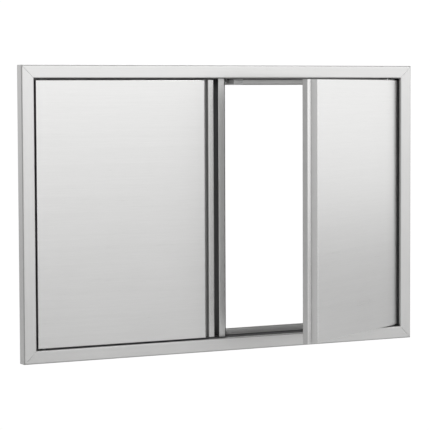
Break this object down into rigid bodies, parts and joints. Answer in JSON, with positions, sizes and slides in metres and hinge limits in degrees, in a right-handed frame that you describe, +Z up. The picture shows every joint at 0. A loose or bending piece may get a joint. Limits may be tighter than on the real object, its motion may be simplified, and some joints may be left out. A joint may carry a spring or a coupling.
{
  "type": "double access door",
  "caption": "Flush stainless-steel double access door: mitred trim frame, centre post and two outward-swinging doors with folded finger pulls.",
  "frame": {"origin": "centre of the wall cut-out, in the plane of the wall's face, where the trim's hems bear", "axes": "+X along the width, +Y into the wall, +Z up; the doors face -Y"},
  "size_m": [0.813, 0.2253, 0.533],
  "materials": {
    "trim_steel": "brushed along each member",
    "panel_steel": "fine upright brushing",
    "inner_steel": "plain mill finish",
    "pin_steel": "bright turned steel",
    "seal_rubber": "matt black rubber",
    "acetal": "black acetal",
    "catch_plastic": "moulded grey plastic",
    "pole_steel": "zinc-plated pole faces round a ferrite core"
  },
  "bodies": {
    "frame": {"trim_top": "trim_steel", "trim_bottom": "trim_steel", "trim_left": "trim_steel", "trim_right": "trim_steel", "gusset_top_left": "inner_steel", "gusset_top_right": "inner_steel", "gusset_bottom_left": "inner_steel", "gusset_bottom_right": "inner_steel", "pivot_plate_top_left": "inner_steel", "pivot_plate_top_right": "inner_steel", "pivot_plate_bottom_left": "inner_steel", "pivot_plate_bottom_right": "inner_steel", "pivot_bush_top_left": "acetal", "pivot_bush_top_right": "acetal", "pivot_bush_bottom_left": "acetal", "pivot_bush_bottom_right": "acetal", "centre_post": "trim_steel", "post_strip_left": "seal_rubber", "post_strip_right": "seal_rubber", "post_foot_top": "trim_steel", "post_foot_bottom": "trim_steel", "foot_rivets": "pin_steel", "catch_case_left": "catch_plastic", "catch_case_right": "catch_plastic", "catch_magnet_left": "pole_steel", "catch_magnet_right": "pole_steel", "catch_screws": "pin_steel"},
    "left_door": {"left_skin": "panel_steel", "left_back_pan": "inner_steel", "left_pull": "panel_steel", "left_pull_caps": "panel_steel", "left_rib": "inner_steel", "left_rivets": "pin_steel", "left_block_top": "inner_steel", "left_block_bottom": "inner_steel", "left_pin_top": "pin_steel", "left_pin_bottom": "pin_steel", "left_strike": "pin_steel", "left_buffer": "seal_rubber"},
    "right_door": {"right_skin": "panel_steel", "right_back_pan": "inner_steel", "right_pull": "panel_steel", "right_pull_caps": "panel_steel", "right_rib": "inner_steel", "right_rivets": "pin_steel", "right_block_top": "inner_steel", "right_block_bottom": "inner_steel", "right_pin_top": "pin_steel", "right_pin_bottom": "pin_steel", "right_strike": "pin_steel", "right_buffer": "seal_rubber"}
  },
  "joints": [
    {"name": "left_hinge", "type": "hinge", "parent": "frame", "child": "left_door", "pos_m": [-0.3675, -0.015, 0], "axis": [0, 0, -1], "range_deg": [0, 110]},
    {"name": "right_hinge", "type": "hinge", "parent": "frame", "child": "right_door", "pos_m": [0.3675, -0.015, 0], "axis": [0, 0, 1], "range_deg": [-32, 78]}
  ]
}
